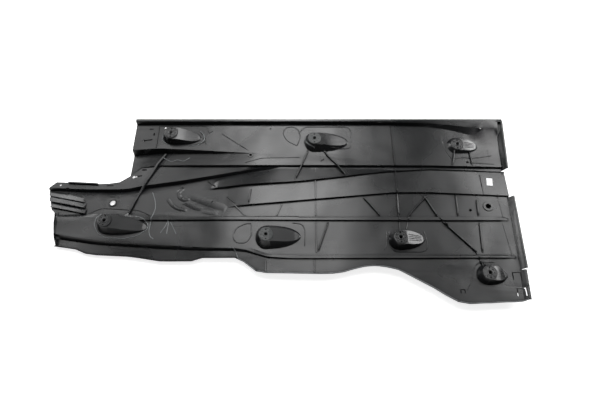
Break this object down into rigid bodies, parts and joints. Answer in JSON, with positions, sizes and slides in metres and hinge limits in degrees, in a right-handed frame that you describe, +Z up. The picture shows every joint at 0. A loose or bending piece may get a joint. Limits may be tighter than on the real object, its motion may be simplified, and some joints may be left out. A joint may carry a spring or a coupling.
{
  "type": "underbody cover",
  "caption": "Moulded plastic underbody cover with raised screw bosses, stiffening beads and ribs, a louvred narrow end and flanged edges.",
  "frame": {"origin": "middle of the panel's outline, at the height of its lowest face", "axes": "+X along the car towards the wide end with the flanges, +Y across the car towards the straight rim, +Z up, towards the car's floor"},
  "size_m": [1.48, 0.62, 0.059],
  "materials": {
    "black_polypropylene": "satin injection-moulded",
    "blank_label": "smooth white film"
  },
  "bodies": {
    "root": {"cover": "black_polypropylene", "label": "blank_label"}
  },
  "joints": []
}
